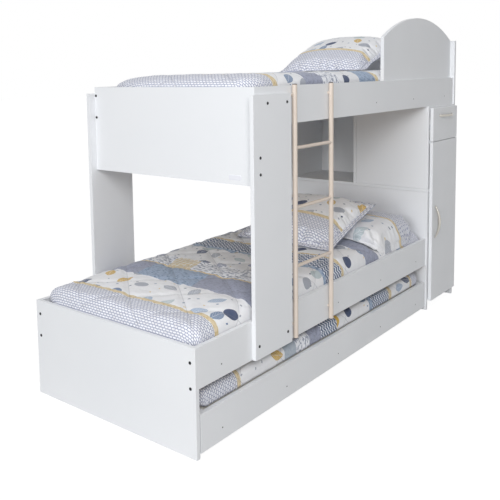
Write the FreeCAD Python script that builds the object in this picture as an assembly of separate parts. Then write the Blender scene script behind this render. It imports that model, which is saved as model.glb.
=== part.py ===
"""Triple bunk bed: two fixed bunks, a pull-out trundle and a cabinet under the head of the upper bunk.

Working axes: X runs from the foot (0 at the lower foot panel) to the head, Y from the ladder side
(0 at the outer face of the side rails) to the wall side, Z is up from the floor.
Each solid is moved at the end so that the origin is the middle of the footprint, on the floor.
"""
import FreeCAD, Part
import math
import os

Vector = FreeCAD.Vector
X_AXIS = Vector(1, 0, 0)
Y_AXIS = Vector(0, 1, 0)
Z_AXIS = Vector(0, 0, 1)

# Boards and overall sizes
board = 18.0
bed_width = 866.0
lower_clear_length = 1912.0
rail_height = 148.0
lower_rail_bottom = 250.0
upper_rail_bottom = 1118.0
upper_setback = 356.0
upper_foot_height = 366.0
cabinet_clear_depth = 344.0
panel_overhang = 8.0

# Posts
post_start = 324.0
post_width = 248.0
post_top_drop = 28.0

# Arched guard at the head of the upper bunk
guard_length = 848.0
guard_lap = 64.0
guard_side_height = 208.0
arch_rise = 108.0

# Cabinet
shelf_top = 671.0
bay_depth = 418.0
bay_height = 164.0
base_board_bottom = 54.0
front_gap = 1.5
front_side_gap = 1.5
front_split_gap = 3.0
door_bottom = 50.0
drawer_front_top_drop = 10.0

# Bed bases
bearer_thickness = 20.0
bearer_height = 40.0
bearer_lift = 28.0
slat_thickness = 16.0
slat_width = 70.0
slat_count = 12
slat_end_gap = 1.0

# Bedding
soft_gap = 0.3
mattress_height = 106.0
mattress_edge_radius = 24.0
mattress_foot_bevel = 60.0
mattress_end_gap = 11.0
lower_mattress_side_gap = 20.0
upper_mattress_side_gap = 11.0
quilt_hang = 76.0
quilt_end_length = 50.0
quilt_end_drop = 8.0
quilt_foot_length = 140.0
quilt_foot_drop = 20.0
quilt_belly = 4.0
quilt_shoulder = 44.0
lower_quilt_tops = (20.0, 42.0)
upper_quilt_tops = (14.0, 16.0)
trundle_quilt_tops = (20.0, 20.0)

# Pillows: each one's top height and under depth are measured from its edge seam
pillow_width = 556.0
pillow_length = 500.0
pillow_side_steps = 6
pillow_draw_share = 0.05
pillow_top_shares = ((1.0, 0.28), (0.86, 0.56), (0.5, 0.82), (0.0, 1.0))
pillow_under_shares = ((0.4, 0.94), (1.0, 0.84))
upper_pillow_top = 62.0
upper_pillow_depth = 190.0
upper_pillow_tilt = 21.0
upper_pillow_head_gap = 327.0
upper_pillow_rear_gap = 4.0
upper_pillow_rise = 216.0
head_pillow_top = 118.0
head_pillow_depth = 70.0
head_pillow_head_gap = 276.0
head_pillow_side_gap = 10.0
head_pillow_rise = 122.0
front_pillow_top = 66.0
front_pillow_depth = 44.0
front_pillow_tilt = 17.5
front_pillow_head_gap = 578.0
front_pillow_side_gap = 100.0

# Ladder
stile_diameter = 20.0
stile_wall = 1.5
rung_diameter = 14.0
ladder_first_gap = 31.5
ladder_spacing = 281.0
ladder_standoff = 4.0
stile_top_rise = 3.0
stile_bottom_rise = 6.0
rung_count = 3
rung_top_drop = 245.0
rung_pitch = 237.0
spacer_diameter = 12.0
spacer_top_drop = 38.0
spacer_bottom_rise = 60.0

# Trundle
trundle_side_gap = 4.0
trundle_front_height = 140.0
trundle_front_bottom = 17.0
trundle_rear_gap = 66.0
trundle_rear_height = 108.0
trundle_bearer_width = 40.0
trundle_bearer_height = 30.0
trundle_bearer_bottom = 48.0
trundle_end_inset = 20.0
trundle_mattress_gap = 12.0
trundle_mattress_height = 112.0
trundle_quilt_hang = 46.0

# Castors
castor_inset = 160.0
wheel_diameter = 40.0
wheel_width = 16.0
axle_diameter = 6.0
axle_clearance = 0.05
fork_plate = 3.0
fork_cheek = 3.0
fork_gap = 1.0
fork_length = 36.0
fork_axle_edge = 8.0

# Drawer
drawer_side = 14.0
drawer_bottom_thickness = 6.0
drawer_rear_gap = 47.5
drawer_top_gap = 46.0
drawer_lift = 14.0
drawer_bottom_lift = 10.0
drawer_groove = 6.0
track_height = 30.0
track_depth = 13.0
track_wall = 3.0
track_gap = 0.5
track_lift = 40.0

# Handles
handle_length = 176.0
handle_reach = 32.0
handle_width = 16.0
handle_strap = 5.0
handle_foot = 11.0
drawer_handle_drop = 44.0
door_handle_inset = 41.0
door_handle_middle = 486.0

# Door hinges
hinge_height = 60.0
hinge_leaf = 1.2
hinge_leaf_width = 26.0
knuckle_diameter = 6.0
knuckle_clearance = 0.3
hinge_pin_diameter = 3.0
hinge_pin_clearance = 0.05
hinge_inset = 110.0
hinge_count = 2

# Bolts, nuts and screws
bolt_diameter = 6.0
bolt_head_diameter = 12.0
bolt_head_height = 2.4
bolt_head_sides = 6
fastener_sides = 6
wheel_bore_sides = 12
bolt_grip = 26.0
nut_diameter = 10.0
nut_length = 14.0
cap_nut_flange = 2.0
cap_nut_flange_diameter = 14.0
cap_nut_depth = 8.0
fastener_gap = 0.05
screw_diameter = 6.0
screw_bite = 14.0
screw_count = 5
screw_end_inset = 124.0
corner_bolt_inset = 24.0
corner_bolt_drop = 55.0
corner_bolt_pitch = 92.0
corner_block_width = 18.0
corner_block_length = 44.0
corner_block_margin = 14.0
post_top_bolt_drop = 33.0
post_top_bolt_insets = (90.0, 28.0)
post_bottom_bolt_rise = 50.0
post_bottom_bolt_insets = (23.0, 32.0)
post_panel_bolt_drops = (259.0, 321.0)
rail_end_bolt_drops = (38.0, 133.0)
guard_screw_inset = 60.0
guard_screw_drop = 30.0

# One overrun for cuts that pass right through
overrun = 5.0

# Places worked out from the sizes above
lower_rail_top = lower_rail_bottom + rail_height
upper_rail_top = upper_rail_bottom + rail_height
cabinet_start = board + lower_clear_length
cabinet_inner_start = cabinet_start + board
head_inner = cabinet_inner_start + cabinet_clear_depth
total_length = head_inner + board
upper_inner_start = upper_setback + board
guard_top_side = upper_rail_top + guard_side_height
inner_rear = bed_width - board
bearer_top = bearer_lift + bearer_height
lower_slat_top = lower_rail_bottom + bearer_top + slat_thickness
upper_slat_top = upper_rail_bottom + bearer_top + slat_thickness
post_end = post_start + post_width
post_top = upper_rail_top - post_top_drop
front_inner = -panel_overhang - front_gap
front_outer = front_inner - board
bay_floor_top = upper_rail_bottom - board - bay_height
bay_floor_middle = bay_floor_top - board / 2
door_top = bay_floor_middle - front_split_gap / 2
drawer_front_bottom = bay_floor_middle + front_split_gap / 2
drawer_front_top = upper_rail_bottom - drawer_front_top_drop
drawer_depth = bay_depth - drawer_rear_gap - front_inner
front_start = cabinet_inner_start + front_side_gap
front_end = head_inner - front_side_gap
stile_y = -ladder_standoff - stile_diameter / 2
trundle_start = board + trundle_side_gap
trundle_end = cabinet_start - trundle_side_gap
trundle_depth = bed_width - trundle_rear_gap
trundle_rear_start = trundle_depth - board
footprint_front = min(front_outer - handle_reach, stile_y - stile_diameter / 2)
footprint_rear = bed_width + board + bolt_head_height
origin_shift = Vector(-total_length / 2, -(footprint_front + footprint_rear) / 2, 0)


def box(x0, x1, y0, y1, z0, z1):
    """A board between two corners."""
    return Part.makeBox(x1 - x0, y1 - y0, z1 - z0, Vector(x0, y0, z0))


def rod(start, axis, diameter, length):
    """A round bar from a start point along an axis."""
    return Part.makeCylinder(diameter / 2, length, start, axis)


def flat_rod(start, axis, diameter, length, sides):
    """A many-sided bar of a given diameter across its corners, for what repeats often."""
    upright = abs(axis.z) > abs(axis.x) + abs(axis.y)
    across = (X_AXIS if upright else Z_AXIS) * (diameter / 2)
    points = []
    for index in range(sides + 1):
        turn = FreeCAD.Rotation(axis, 360.0 * index / sides)
        points.append(start + turn.multVec(across))
    return Part.Face(Part.makePolygon(points)).extrude(axis * length)


def drill(solid, tools):
    """A solid with the tool solids that reach it taken out."""
    near = [tool for tool in tools if solid.BoundBox.intersect(tool.BoundBox)]
    return solid.cut(near) if near else solid


def save(node, *solids):
    """Move a node's solids to the shared origin and write them."""
    shape = solids[0].copy() if len(solids) == 1 else Part.makeCompound(list(solids))
    shape.translate(origin_shift)
    shape.exportStep("parts/" + node + ".step")


def spread(start, end, count):
    """Even places from start to end."""
    step = (end - start) / (count - 1)
    return [start + step * index for index in range(count)]


# Fasteners: each list holds the solid, and the bore that it needs in the boards

bolts = []
bolt_bores = []
nuts = []
nut_bores = []
screws = []
screw_bores = []


def add_bolt(face_point, axis, length):
    """A bolt whose head stands on a face, with its shank along the axis."""
    head_start = face_point - axis * bolt_head_height
    head = flat_rod(head_start, axis, bolt_head_diameter, bolt_head_height, bolt_head_sides)
    shank = flat_rod(face_point, axis, bolt_diameter, length, fastener_sides)
    bolts.append(head.fuse(shank).removeSplitter())
    bore_diameter = bolt_diameter + fastener_gap * 2
    bolt_bores.append(flat_rod(face_point, axis, bore_diameter, length + fastener_gap, fastener_sides))


def add_cross_nut(centre, axis):
    """A barrel nut across the end of a bolt."""
    start = centre - axis * (nut_length / 2)
    nuts.append(flat_rod(start, axis, nut_diameter, nut_length, fastener_sides))
    bore_start = start - axis * fastener_gap
    bore_length = nut_length + fastener_gap * 2
    bore_diameter = nut_diameter + fastener_gap * 2
    nut_bores.append(flat_rod(bore_start, axis, bore_diameter, bore_length, fastener_sides))


def add_edge_bolt(face_point, axis, nut_axis):
    """A bolt through one board into the end of another, with its barrel nut."""
    length = board + bolt_grip
    add_bolt(face_point, axis, length)
    add_cross_nut(face_point + axis * (length + nut_diameter / 2 + fastener_gap * 2), nut_axis)


def add_through_bolt(face_point, axis):
    """A bolt through two boards, with a flanged cap nut on the far face."""
    far_face = face_point + axis * (board * 2)
    length = board * 2 - cap_nut_depth - fastener_gap
    add_bolt(face_point, axis, length)
    sleeve = flat_rod(far_face - axis * cap_nut_depth, axis, nut_diameter, cap_nut_depth, fastener_sides)
    flange = flat_rod(far_face, axis, cap_nut_flange_diameter, cap_nut_flange, fastener_sides)
    nuts.append(sleeve.fuse(flange).removeSplitter())
    bore_start = far_face - axis * (cap_nut_depth + fastener_gap)
    bore_length = cap_nut_depth + fastener_gap
    bore_diameter = nut_diameter + fastener_gap * 2
    nut_bores.append(flat_rod(bore_start, axis, bore_diameter, bore_length, fastener_sides))
    recess_diameter = cap_nut_flange_diameter + fastener_gap * 2
    recess_depth = cap_nut_flange + fastener_gap
    nut_bores.append(flat_rod(far_face, axis, recess_diameter, recess_depth, fastener_sides))


def add_screw(face_point, axis, length):
    """A flush screw from an outer face through one board into the next."""
    screws.append(flat_rod(face_point, axis, screw_diameter, length, fastener_sides))
    screw_bores.append(screw_bore(face_point, axis, length))


def screw_bore(face_point, axis, length):
    """The hole that a screw needs."""
    bore_diameter = screw_diameter + fastener_gap * 2
    return flat_rod(face_point, axis, bore_diameter, length + fastener_gap, fastener_sides)


rear_side = -Y_AXIS
corner_bolt_heights = [lower_rail_top - corner_bolt_drop - corner_bolt_pitch * step for step in (0, 1)]


def add_frame_fasteners():
    """Every bolt, nut and screw of the fixed frame."""
    for bolt_z in corner_bolt_heights:
        for bolt_y in (corner_bolt_inset, bed_width - corner_bolt_inset):
            add_bolt(Vector(0, bolt_y, bolt_z), X_AXIS, board + bolt_grip)
            add_bolt(Vector(cabinet_inner_start, bolt_y, bolt_z), -X_AXIS, board + bolt_grip)
    for drop in rail_end_bolt_drops:
        bolt_z = upper_rail_top - drop
        for bolt_y in (board / 2, bed_width - board / 2):
            add_edge_bolt(Vector(upper_setback, bolt_y, bolt_z), X_AXIS, Y_AXIS)
            add_edge_bolt(Vector(total_length, bolt_y, bolt_z), -X_AXIS, Y_AXIS)
    for face_y, inward in ((-board, Y_AXIS), (bed_width + board, rear_side)):
        top_bolts = (post_start + post_top_bolt_insets[0], post_end - post_top_bolt_insets[1])
        bottom_bolts = (post_start + post_bottom_bolt_insets[0], post_end - post_bottom_bolt_insets[1])
        for bolt_x in top_bolts:
            add_through_bolt(Vector(bolt_x, face_y, post_top - post_top_bolt_drop), inward)
        for bolt_x in bottom_bolts:
            add_through_bolt(Vector(bolt_x, face_y, lower_rail_bottom + post_bottom_bolt_rise), inward)
        for drop in post_panel_bolt_drops:
            start = Vector(upper_setback + board / 2, face_y, upper_rail_top - drop)
            add_edge_bolt(start, inward, X_AXIS)
    screw_rise = bearer_lift + bearer_height / 2
    lower_places = spread(board + screw_end_inset, cabinet_start - screw_end_inset, screw_count)
    upper_places = spread(upper_inner_start + screw_end_inset, head_inner - screw_end_inset, screw_count)
    for face_y, inward in ((0, Y_AXIS), (bed_width, rear_side)):
        for screw_x in lower_places:
            add_screw(Vector(screw_x, face_y, lower_rail_bottom + screw_rise), inward, board + screw_bite)
        for screw_x in upper_places:
            add_screw(Vector(screw_x, face_y, upper_rail_bottom + screw_rise), inward, board + screw_bite)
    guard_start = head_inner - guard_length
    for screw_x in spread(guard_start + guard_screw_inset, head_inner - guard_screw_inset, 3):
        start = Vector(screw_x, board * 2, upper_rail_top - guard_screw_drop)
        add_screw(start, rear_side, board + screw_bite)


add_frame_fasteners()
frame_bores = bolt_bores + nut_bores + screw_bores


def make_lower_bunk():
    """Foot panel, side rails, corner blocks and the bed base of the lower bunk."""
    save("lower_foot_panel", drill(box(0, board, 0, bed_width, 0, lower_rail_top), frame_bores))
    for node, y0 in (("lower_front_rail", 0), ("lower_rear_rail", inner_rear)):
        rail = box(board, cabinet_start, y0, y0 + board, lower_rail_bottom, lower_rail_top)
        save(node, drill(rail, frame_bores))
    block_bottom = corner_bolt_heights[1] - corner_block_margin
    block_top = corner_bolt_heights[0] + corner_block_margin
    blocks = []
    for x0 in (board, cabinet_start - corner_block_length):
        for y0 in (board, inner_rear - corner_block_width):
            block = box(x0, x0 + corner_block_length, y0, y0 + corner_block_width, block_bottom, block_top)
            blocks.append(drill(block, frame_bores))
    save("corner_blocks", *blocks)


def make_bearers():
    """The strips along the insides of both pairs of side rails."""
    strips = []
    runs = ((board + corner_block_length, cabinet_start - corner_block_length, lower_rail_bottom),
            (upper_inner_start, head_inner, upper_rail_bottom))
    for x0, x1, rail_bottom in runs:
        z0 = rail_bottom + bearer_lift
        for y0 in (board, inner_rear - bearer_thickness):
            strip = box(x0, x1, y0, y0 + bearer_thickness, z0, z0 + bearer_height)
            strips.append(drill(strip, frame_bores))
    save("side_bearers", *strips)


def make_slats(node, x0, x1, y0, y1, top):
    """Even cross slats over a bed base."""
    slats = []
    for slat_x in spread(x0, x1 - slat_width, slat_count):
        slats.append(box(slat_x, slat_x + slat_width, y0, y1, top - slat_thickness, top))
    save(node, *slats)


def make_posts():
    """The two wide uprights outside the rails."""
    for node, y0 in (("front_post", -board), ("rear_post", bed_width)):
        post = box(post_start, post_end, y0, y0 + board, lower_rail_bottom, post_top)
        save(node, drill(post, frame_bores))


def make_upper_bunk():
    """Foot panel, side rails and arched guard of the upper bunk."""
    foot_bottom = upper_rail_top - upper_foot_height
    foot = box(upper_setback, upper_inner_start, 0, bed_width, foot_bottom, upper_rail_top)
    save("upper_foot_panel", drill(foot, frame_bores))
    for node, y0 in (("upper_front_rail", 0), ("upper_rear_rail", inner_rear)):
        rail = box(upper_inner_start, head_inner, y0, y0 + board, upper_rail_bottom, upper_rail_top)
        save(node, drill(rail, frame_bores))
    guard_start = head_inner - guard_length
    guard_bottom = upper_rail_top - guard_lap
    low_start = Vector(guard_start, board, guard_bottom)
    low_end = Vector(head_inner, board, guard_bottom)
    side_start = Vector(guard_start, board, guard_top_side)
    side_end = Vector(head_inner, board, guard_top_side)
    crown = Vector(head_inner - guard_length / 2, board, guard_top_side + arch_rise)
    edges = [
        Part.LineSegment(low_start, low_end).toShape(),
        Part.LineSegment(low_end, side_end).toShape(),
        Part.Arc(side_end, crown, side_start).toShape(),
        Part.LineSegment(side_start, low_start).toShape(),
    ]
    guard = Part.Face(Part.Wire(edges)).extrude(Y_AXIS * board)
    save("arched_guard", drill(guard, frame_bores))


def make_cabinet():
    """The fixed boards of the cabinet under the head of the upper bunk."""
    front_y = -panel_overhang
    rear_y = bed_width + panel_overhang
    shelf_bottom = shelf_top - board
    head = box(head_inner, total_length, front_y, rear_y, 0, guard_top_side)
    save("head_panel", drill(drill(head, frame_bores), hinge_reliefs()))
    lower = box(cabinet_start, cabinet_inner_start, front_y, rear_y, 0, shelf_bottom)
    save("cabinet_lower_panel", drill(lower, frame_bores))
    upper = box(cabinet_start, cabinet_inner_start, front_y, bay_depth, shelf_top, upper_rail_bottom)
    save("cabinet_upper_panel", upper)
    divider = box(cabinet_start, head_inner, bay_depth, bay_depth + board, shelf_top, upper_rail_bottom)
    save("niche_divider", divider)
    shelf = box(cabinet_start, head_inner, front_y, rear_y, shelf_bottom, shelf_top)
    save("niche_shelf", shelf)
    back_y = rear_y - board
    back_low = box(cabinet_inner_start, head_inner, back_y, rear_y, 0, shelf_bottom)
    back_high = box(cabinet_start, head_inner, back_y, rear_y, shelf_top, upper_rail_bottom)
    save("cabinet_back", back_low, back_high)
    base_top = base_board_bottom + board
    base = box(cabinet_inner_start, head_inner, front_y, back_y, base_board_bottom, base_top)
    bay_floor_bottom = bay_floor_top - board
    bay_floor = box(cabinet_inner_start, head_inner, front_y, bay_depth, bay_floor_bottom, bay_floor_top)
    top_bottom = upper_rail_bottom - board
    bay_top = box(cabinet_inner_start, head_inner, front_y, bay_depth, top_bottom, upper_rail_bottom)
    niche_top = box(cabinet_start, head_inner, bay_depth + board, back_y, top_bottom, upper_rail_bottom)
    save("cabinet_boards", base, bay_floor, bay_top, niche_top)


def make_ladder():
    """Two tube stiles on spacers outside the rails, with three welded rungs."""
    stile_bottom = lower_rail_bottom + stile_bottom_rise
    stile_top = upper_rail_top + stile_top_rise
    first_x = post_end + ladder_first_gap
    places = (("left_stile", first_x), ("right_stile", first_x + ladder_spacing))
    spacer_heights = (lower_rail_bottom + spacer_bottom_rise, upper_rail_top - spacer_top_drop)
    tubes = []
    spacers = []
    for node, stile_x in places:
        length = stile_top - stile_bottom
        start = Vector(stile_x, stile_y, stile_bottom)
        outer = rod(start, Z_AXIS, stile_diameter, length)
        tubes.append(outer)
        bore_diameter = stile_diameter - stile_wall * 2
        plug_length = stile_diameter
        bore = rod(start + Z_AXIS * plug_length, Z_AXIS, bore_diameter, length)
        save(node, outer.cut(bore))
        for spacer_z in spacer_heights:
            spacer = rod(Vector(stile_x, stile_y, spacer_z), Y_AXIS, spacer_diameter, -stile_y)
            spacers.append(spacer.cut(outer))
    save("ladder_spacers", *spacers)
    rungs = []
    for index in range(rung_count):
        rung_z = upper_rail_top - rung_top_drop - rung_pitch * index
        rung = rod(Vector(first_x, stile_y, rung_z), X_AXIS, rung_diameter, ladder_spacing)
        rungs.append(rung.cut(tubes))
    save("ladder_rungs", *rungs)


def quilt_section(x, y0, y1, z0, top):
    """A cross-section of a quilt: full sides, round shoulders and a flat middle."""
    side_y0 = y0 + quilt_belly
    side_y1 = y1 - quilt_belly
    side_top = top - quilt_shoulder
    belly_z = (z0 + side_top) / 2
    lean = quilt_shoulder * (1 - math.sqrt(0.5))
    low_left = Vector(x, side_y0, z0)
    low_right = Vector(x, side_y1, z0)
    left = Vector(x, side_y0, side_top)
    right = Vector(x, side_y1, side_top)
    left_bend = Vector(x, side_y0 + lean, top - lean)
    right_bend = Vector(x, side_y1 - lean, top - lean)
    left_top = Vector(x, side_y0 + quilt_shoulder, top)
    right_top = Vector(x, side_y1 - quilt_shoulder, top)
    edges = [
        Part.LineSegment(low_left, low_right).toShape(),
        Part.Arc(low_right, Vector(x, y1, belly_z), right).toShape(),
        Part.Arc(right, right_bend, right_top).toShape(),
        Part.LineSegment(right_top, left_top).toShape(),
        Part.Arc(left_top, left_bend, left).toShape(),
        Part.Arc(left, Vector(x, y0, belly_z), low_left).toShape(),
    ]
    return Part.Wire(edges)


def mattress_form(x0, x1, y0, y1, z0, z1, radius, foot_bevel):
    """A block with its top edge at the foot bevelled and its two long top edges rounded."""
    block = box(x0, x1, y0, y1, z0, z1)
    foot = []
    for edge in block.Edges:
        bounds = edge.BoundBox
        if bounds.YLength > bounds.XLength and bounds.ZMin > (z0 + z1) / 2 and bounds.XMax < (x0 + x1) / 2:
            foot.append(edge)
    block = block.makeChamfer(foot_bevel, foot)
    sides = []
    for edge in block.Edges:
        bounds = edge.BoundBox
        if bounds.XLength > (x1 - x0) / 2 and bounds.ZMin > (z0 + z1) / 2:
            sides.append(edge)
    return block.makeFillet(radius, sides)


def make_bed(prefix, space, base_z, gaps, height, hang, tops, foot):
    """A mattress in its space and the quilt over it; returns the block under the quilt's flat top."""
    x0, x1, y0, y1 = space
    end_gap, side_gap = gaps
    foot_bevel, foot_length, foot_drop = foot
    z0 = base_z + soft_gap
    z1 = z0 + height
    bed_x0 = x0 + end_gap
    bed_x1 = x1 - end_gap
    bed_y0 = y0 + side_gap
    bed_y1 = y1 - side_gap
    mattress = mattress_form(bed_x0, bed_x1, bed_y0, bed_y1, z0, z1, mattress_edge_radius, foot_bevel)
    save(prefix + "_mattress", mattress)
    slack = soft_gap * 2
    quilt_x0 = x0 + slack
    quilt_x1 = x1 - slack
    quilt_y0 = y0 + slack
    quilt_y1 = y1 - slack
    foot_top, head_top = (z1 + top for top in tops)
    low_z = z1 - hang
    sections = [
        quilt_section(quilt_x0, quilt_y0, quilt_y1, low_z, foot_top - foot_drop),
        quilt_section(quilt_x0 + foot_length, quilt_y0, quilt_y1, low_z, foot_top),
        quilt_section(quilt_x1 - quilt_end_length, quilt_y0, quilt_y1, low_z, head_top),
        quilt_section(quilt_x1, quilt_y0, quilt_y1, low_z, head_top - quilt_end_drop),
    ]
    hollow = mattress_form(bed_x0 - soft_gap, bed_x1 + soft_gap, bed_y0 - soft_gap, bed_y1 + soft_gap,
                           low_z - overrun, z1 + soft_gap, mattress_edge_radius + soft_gap,
                           foot_bevel + soft_gap)
    save(prefix + "_quilt", Part.makeLoft(sections, True, True).cut(hollow))
    slope = (head_top - foot_top) / (quilt_x1 - quilt_x0 - quilt_end_length - foot_length)
    block_head = head_top + slope * quilt_end_length + soft_gap
    block_foot = foot_top - slope * foot_length + soft_gap
    outline = [Vector(quilt_x0, y0 - overrun, 0), Vector(quilt_x1, y0 - overrun, 0),
               Vector(quilt_x1, y0 - overrun, block_head), Vector(quilt_x0, y0 - overrun, block_foot)]
    outline.append(outline[0])
    return Part.Face(Part.makePolygon(outline)).extrude(Y_AXIS * (y1 - y0 + overrun * 2))


def pillow_outline(scale, z):
    """A pillow's outline at one height: four corners with the sides drawn in between them."""
    points = []
    for side_x, side_y in ((1, 0), (0, 1), (-1, 0), (0, -1)):
        for step in range(pillow_side_steps):
            along = 2 * step / pillow_side_steps - 1
            reach = 1 - pillow_draw_share * (1 - along ** 2)
            x = side_x * reach - side_y * along
            y = side_y * reach + side_x * along
            points.append(Vector(x * scale * pillow_length / 2, y * scale * pillow_width / 2, z))
    return points


def flat_face(points):
    """A flat face inside a closed run of points."""
    return Part.Face(Part.makePolygon(list(points) + [points[0]]))


def pillow(top, depth):
    """A pillow lying flat at the origin, domed above its edge seam and full below it."""
    rings = [pillow_outline(scale, share * top) for share, scale in pillow_top_shares]
    rings += [pillow_outline(scale, -share * depth) for share, scale in pillow_under_shares]
    faces = [flat_face(rings[0]), flat_face(rings[-1])]
    for upper, lower in zip(rings, rings[1:]):
        for index in range(len(upper)):
            after = (index + 1) % len(upper)
            faces.append(flat_face([upper[index], lower[index], lower[after], upper[after]]))
    return Part.makeSolid(Part.makeShell(faces))


def make_bedding():
    """Mattresses, quilts and pillows of the two fixed bunks."""
    soft_foot = (mattress_foot_bevel, quilt_foot_length, quilt_foot_drop)
    lower_space = (board, cabinet_start, board, inner_rear)
    lower_bed = make_bed("lower", lower_space, lower_slat_top, (mattress_end_gap, lower_mattress_side_gap),
                         mattress_height, quilt_hang, lower_quilt_tops, soft_foot)
    upper_space = (upper_inner_start, head_inner, board * 2, inner_rear)
    upper_bed = make_bed("upper", upper_space, upper_slat_top, (mattress_end_gap, upper_mattress_side_gap),
                         mattress_height, quilt_hang, upper_quilt_tops, soft_foot)
    middle = Vector(0, 0, 0)

    upper = pillow(upper_pillow_top, upper_pillow_depth)
    upper.rotate(middle, Y_AXIS, -upper_pillow_tilt)
    upper_x = head_inner - upper_pillow_head_gap
    upper_y = inner_rear - upper_pillow_rear_gap - pillow_width / 2
    upper.translate(Vector(upper_x, upper_y, upper_slat_top + upper_pillow_rise))
    save("upper_pillow", upper.cut(upper_bed))

    head_x = cabinet_start - head_pillow_head_gap
    head_z = lower_slat_top + head_pillow_rise
    head = pillow(head_pillow_top, head_pillow_depth)
    head.translate(Vector(head_x, board + head_pillow_side_gap + pillow_width / 2, head_z))
    save("lower_head_pillow", head.cut(lower_bed))

    # The front pillow's flat underside leans on the near edges of the head pillow's dome
    front_x = cabinet_start - front_pillow_head_gap
    tilt = math.radians(front_pillow_tilt)
    heights = []
    for share, scale in pillow_top_shares:
        edge_x = head_x - scale * pillow_length / 2
        edge_z = head_z + head_pillow_top * share
        heights.append(edge_z - math.tan(tilt) * (edge_x - front_x))
    front_z = max(heights) + soft_gap + front_pillow_depth / math.cos(tilt)
    front = pillow(front_pillow_top, front_pillow_depth)
    front.rotate(middle, Y_AXIS, -front_pillow_tilt)
    front.translate(Vector(front_x, board + front_pillow_side_gap + pillow_width / 2, front_z))
    save("lower_front_pillow", front.cut(lower_bed))


def make_trundle():
    """The pull-out bed: its box, base, castor forks and bedding."""
    bearer_top_z = trundle_bearer_bottom + trundle_bearer_height
    slat_top = bearer_top_z + slat_thickness
    front_top = trundle_front_bottom + trundle_front_height
    rear_top = trundle_bearer_bottom + trundle_rear_height
    trundle_screws = []
    trundle_bores = []
    screw_z = trundle_bearer_bottom + trundle_bearer_height / 2
    screw_length = board + screw_bite
    for screw_x in spread(board + screw_end_inset, cabinet_start - screw_end_inset, screw_count):
        for face_y, inward in ((0, Y_AXIS), (trundle_depth, rear_side)):
            start = Vector(screw_x, face_y, screw_z)
            trundle_screws.append(flat_rod(start, inward, screw_diameter, screw_length, fastener_sides))
            trundle_bores.append(screw_bore(start, inward, screw_length))
    save("trundle_screws", *trundle_screws)
    front = box(trundle_start, trundle_end, 0, board, trundle_front_bottom, front_top)
    save("trundle_front", drill(front, trundle_bores))
    rear = box(trundle_start, trundle_end, trundle_rear_start, trundle_depth,
               trundle_bearer_bottom, rear_top)
    save("trundle_rear", drill(rear, trundle_bores))
    ends = []
    bearer_x0 = trundle_start + trundle_end_inset
    bearer_x1 = trundle_end - trundle_end_inset
    for x0 in (bearer_x0, bearer_x1 - board):
        ends.append(box(x0, x0 + board, board, trundle_rear_start, bearer_top_z, rear_top))
    save("trundle_ends", *ends)
    bearers = []
    for y0 in (board, trundle_rear_start - trundle_bearer_width):
        bearer = box(bearer_x0, bearer_x1, y0, y0 + trundle_bearer_width,
                     trundle_bearer_bottom, bearer_top_z)
        bearers.append(drill(bearer, trundle_bores))
    save("trundle_bearers", *bearers)
    make_slats("trundle_slats", bearer_x0 + board, bearer_x1 - board, board + slat_end_gap,
               trundle_rear_start - slat_end_gap, slat_top)
    make_castors(bearer_x0, bearer_x1)
    space = (bearer_x0 + board, bearer_x1 - board, board, trundle_rear_start)
    make_bed("trundle", space, slat_top, (trundle_mattress_gap, trundle_mattress_gap),
             trundle_mattress_height, trundle_quilt_hang, trundle_quilt_tops,
             (mattress_edge_radius, quilt_end_length, quilt_end_drop))


def make_castors(bearer_x0, bearer_x1):
    """Four fixed castors under the trundle's bearers, each wheel a node of its own."""
    wheel_radius = wheel_diameter / 2
    cheek_height = trundle_bearer_bottom - fork_plate
    half_gap = wheel_width / 2 + fork_gap
    half_outer = half_gap + fork_cheek
    cheek_drop = fork_axle_edge
    bore_corners = (axle_diameter + axle_clearance * 2) / math.cos(math.pi / wheel_bore_sides)
    forks = []
    front_y = board + trundle_bearer_width / 2
    rear_y = trundle_rear_start - trundle_bearer_width / 2
    places = (("front_foot", bearer_x0 + castor_inset, front_y),
              ("front_head", bearer_x1 - castor_inset, front_y),
              ("rear_foot", bearer_x0 + castor_inset, rear_y),
              ("rear_head", bearer_x1 - castor_inset, rear_y))
    for name, x, y in places:
        half_length = fork_length / 2
        axle_start = Vector(x - half_outer, y, wheel_radius)
        axle_length = half_outer * 2
        axle = rod(axle_start, X_AXIS, axle_diameter, axle_length)
        plate = box(x - half_outer, x + half_outer, y - half_length, y + half_length,
                    cheek_height, trundle_bearer_bottom)
        fork = plate
        for side in (-1, 1):
            cheek_x = x + side * half_gap - (fork_cheek if side < 0 else 0)
            top_left = Vector(cheek_x, y - half_length, cheek_height)
            top_right = Vector(cheek_x, y + half_length, cheek_height)
            low_left = Vector(cheek_x, y - cheek_drop, wheel_radius - cheek_drop)
            low_right = Vector(cheek_x, y + cheek_drop, wheel_radius - cheek_drop)
            outline = Part.makePolygon([top_left, top_right, low_right, low_left, top_left])
            fork = fork.fuse(Part.Face(outline).extrude(X_AXIS * fork_cheek))
        forks.append(fork.fuse(axle).removeSplitter())
        wheel = rod(Vector(x - wheel_width / 2, y, wheel_radius), X_AXIS, wheel_diameter, wheel_width)
        hole = flat_rod(axle_start, X_AXIS, bore_corners, axle_length, wheel_bore_sides)
        save("castor_wheel_" + name, wheel.cut(hole))
    save("castor_forks", *forks)


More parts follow.
